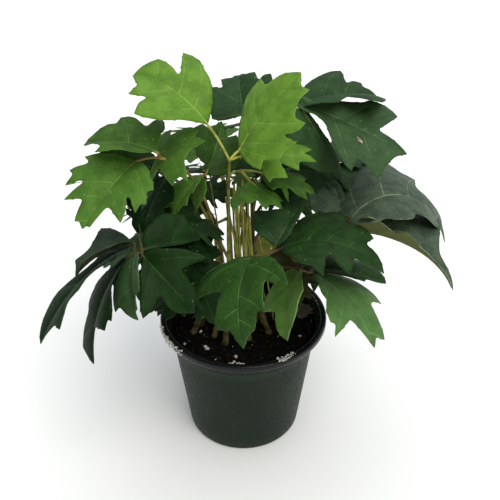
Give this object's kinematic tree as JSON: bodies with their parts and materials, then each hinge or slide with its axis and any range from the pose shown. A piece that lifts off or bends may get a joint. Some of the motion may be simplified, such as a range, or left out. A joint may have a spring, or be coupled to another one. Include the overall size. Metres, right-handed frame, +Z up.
{
  "type": "potted grape ivy",
  "caption": "Bushy potted vine with thin upright shoots and lobed three-part leaves, lime at the top and dark below, in a round tapered nursery pot filled with soil.",
  "frame": {"origin": "centre of the pot's flat underside, on the ground", "axes": "+Z up, +X to the right in the picture, +Y away from the picture's camera"},
  "size_m": [0.239, 0.2279, 0.2702],
  "materials": {
    "pot_plastic": "dark green moulded polypropylene, satin, with a near-black rim",
    "soil": "moist dark peat with white perlite grains",
    "stem": "olive to reddish brown green bark",
    "leaf": "lobed green leaves with pale veins, satin above and matte below"
  },
  "bodies": {
    "root": {"pot": "pot_plastic", "soil": "soil", "stem_lime": "stem", "stem_left_light": "stem", "stem_left_mid": "stem", "stem_left_low": "stem", "stem_front": "stem", "stem_right": "stem", "stem_upper_right": "stem", "stem_top_back": "stem", "stem_back_right": "stem", "stem_back": "stem", "stem_back_left": "stem", "foliage_lime": "leaf", "foliage_left_light": "leaf", "foliage_left_mid": "leaf", "foliage_left_low": "leaf", "foliage_front": "leaf", "foliage_right": "leaf", "foliage_upper_right": "leaf", "foliage_top_back": "leaf", "foliage_back_right": "leaf", "foliage_back": "leaf", "foliage_back_left": "leaf"}
  },
  "joints": []
}
